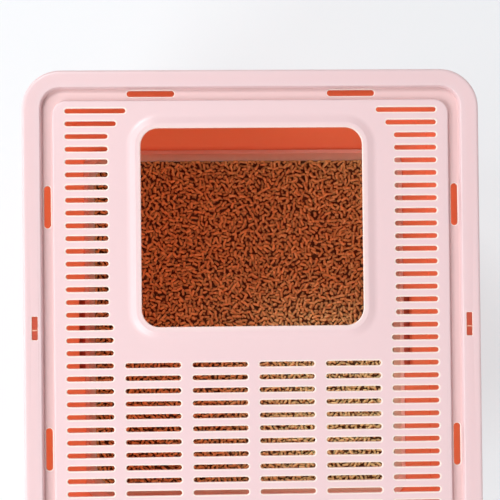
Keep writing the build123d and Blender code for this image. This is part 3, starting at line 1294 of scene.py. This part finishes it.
@dataclass
class Studio:
    """A pale floor, soft light from the left and a camera above the lid."""

    floor_colour: Colour = (0.87, 0.93, 0.95)
    floor_roughness: float = 0.9
    floor_reach: float = 7.0
    floor_steps: int = 9
    floor_white: float = 0.66
    floor_fade: tuple[float, float] = (0.6, 2.4)
    sky_strength: float = 0.2
    sky_colour: Colour = (0.97, 0.98, 1.0)
    backdrop_colour: Colour = (0.93, 0.94, 0.965)
    lamps: tuple[Lamp, ...] = (
        Lamp("key_light", (-0.78, 0.04, 0.55), 5.0, 2.0, 82.0),
        Lamp("window_light", (-0.31, 0.493, 0.82), 5.0, 1.2, 102.0),
        Lamp("front_light", (-0.62, -0.52, 0.85), 3.0, 1.3, 43.0),
        Lamp("side_light", (0.85, -0.45, 0.27), 4.0, 2.0, 48.0),
    )
    camera_place: Point = (-0.0365, 0.0125, 1.4654)
    camera_turn: Point = (0.648, -1.773, -0.596)
    sensor_width: float = 36.0
    focal_pixels: float = 1149.9
    photo_pixels: float = 500.0
    photo_rise: float = 50.0

    def _floor(self) -> None:
        """Adds the floor, a square grid at the level of the feet that fades into the backdrop."""
        count = self.floor_steps
        steps = np.linspace(-self.floor_reach, self.floor_reach, count)
        points = np.stack(np.meshgrid(steps, steps, [0.0]), -1).reshape(-1, 3)
        low = np.arange(count * (count - 1)).reshape(-1, count)[:, :-1].ravel()
        faces = np.stack([low, low + 1, low + 1 + count, low + count], -1)
        mesh = bpy.data.meshes.new("studio_floor")
        mesh.from_pydata(points, [], faces.tolist())
        floor = linked("studio_floor", mesh, Shell.sharp)
        tree = ShaderTree(bpy.data.materials.new("studio_floor"))
        sockets = {"Base Color": self.floor_colour, "Roughness": self.floor_roughness}
        paper = tree.add("ShaderNodeBsdfPrincipled", {}, sockets)
        white = tree.add("ShaderNodeEmission", {}, {"Color": self.backdrop_colour})
        length = {"operation": "LENGTH"}
        away = tree.add("ShaderNodeVectorMath", length, {0: tree.place()}, "Value")
        fade = tree.remap(away, *self.floor_fade)
        share = tree.in_view() * (fade * (1 - self.floor_white) + self.floor_white)
        shader = tree.add("ShaderNodeMixShader", {}, {0: share, 1: paper, 2: white})
        floor.data.materials.append(tree.finish(shader))

    def _sky(self) -> None:
        """Lights the room evenly, with a white backdrop for the camera."""
        world = bpy.data.worlds.new("studio_room")
        bpy.context.scene.world = world
        tree = ShaderTree(world)
        sockets = {"Color": self.sky_colour, "Strength": self.sky_strength}
        light = tree.add("ShaderNodeBackground", {}, sockets)
        backdrop = tree.add("ShaderNodeBackground", {}, {"Color": self.backdrop_colour})
        shader = tree.add("ShaderNodeMixShader", {}, {0: tree.in_view(), 1: light, 2: backdrop})
        tree.finish(shader, "ShaderNodeOutputWorld")

    def _camera(self) -> None:
        """Adds the camera, nearly straight above the lid."""
        data = bpy.data.cameras.new("camera")
        data.sensor_width = self.sensor_width
        data.lens = self.focal_pixels / self.photo_pixels * self.sensor_width
        data.shift_y = self.photo_rise / self.photo_pixels
        turn = Vector(self.camera_turn)
        camera = added("camera", data)
        camera.location = self.camera_place
        camera.rotation_mode = "QUATERNION"
        camera.rotation_quaternion = Quaternion(turn.normalized(), math.radians(turn.length))
        bpy.context.scene.camera = camera

    def build(self) -> None:
        """Builds the studio."""
        self._floor()
        self._sky()
        for lamp in self.lamps:
            lamp.build()
        self._camera()
        bpy.context.scene.view_settings.view_transform = "Standard"


def main() -> None:
    """Builds every sub-assembly in order and reports its pieces."""
    logging.basicConfig(level=logging.INFO, format="%(message)s")
    Studio().build()
    pink = MouldedPlastic(
        "pale_pink_plastic",
        colour=(0.89, 0.71, 0.735),
        shade=(0.875, 0.69, 0.715),
        glow=0.22,
        glow_colour=(1.0, 0.85, 0.82),
        # Painted shade on the channel floor and all that lies lower.
        low_shade_colour=(0.85, 0.63, 0.63),
        # Painted highlight on the lips of the slots, the windows and the opening.
        highlight_colour=(1.0, 0.94, 0.85),
        low_shade_from=0.3805,
        low_shade_to=0.3785,
    )
    pan_pink = MouldedPlastic(
        "pan_pink_plastic",
        colour=(0.95, 0.78, 0.70),
        shade=(0.92, 0.75, 0.67),
        glow=0.3,
        glow_colour=(1.0, 0.82, 0.74),
    )
    coral = MouldedPlastic(
        "coral_plastic",
        colour=(0.94, 0.28, 0.17),
        shade=(0.91, 0.255, 0.15),
        # Painted highlight on the body's top faces.
        highlight_colour=(1.0, 0.74, 0.54),
        # Painted shade in the catch pockets and on the band below the top faces.
        painted_shade_colour=(0.50, 0.06, 0.03),
        glow=0.47,
        glow_colour=(1.0, 0.48, 0.30),
    )
    clip_coral = MouldedPlastic(
        "clip_coral_plastic", colour=(0.86, 0.26, 0.16), shade=(0.83, 0.235, 0.14)
    )
    # Khaki pellets, bright enough to paint a pool of light on the near right.
    khaki = (0.88, 0.93, 0.46)
    # The dark colour is reached by painted shade and by low random tone.
    pellets = PressedFibre("pellet_fibre", (1.0, 0.79, 0.33), (0.28, 0.13, 0.04), khaki)
    # The heap is dark: painted shade in the gaps between the pellets.
    heap = PressedFibre("heap_painted_shade", (0.20, 0.10, 0.03), (0.09, 0.045, 0.015), khaki)
    # The box of the catch pocket that takes painted shade.
    catch_pocket = (
        (193.6 * MM, -55.5 * MM, 91.0 * MM),
        (198.5 * MM, 33.5 * MM, 136.5 * MM),
    )
    assemblies = (
        Lid(pink),
        RoundedMoulding("body", "shell", "body_plastic", coral, shaded_recess=catch_pocket),
        RoundedMoulding("pan", "base", "pan_plastic", pan_pink),
        RoundedMoulding("left_clip", "left_latch", "clip_plastic", clip_coral, 0.5 * MM),
        RoundedMoulding("right_clip", "right_latch", "clip_plastic", clip_coral, 0.5 * MM),
        *(
            RoundedMoulding(foot, "base", "foot_rubber", SoftRubber())
            for foot in ("foot_near_left", "foot_near_right", "foot_far_left", "foot_far_right")
        ),
        Litter(pellets, heap),
    )
    for assembly in assemblies:
        for piece in assembly.build():
            LOG.info("made %s", piece.name)


if __name__ == "__main__":
    main()
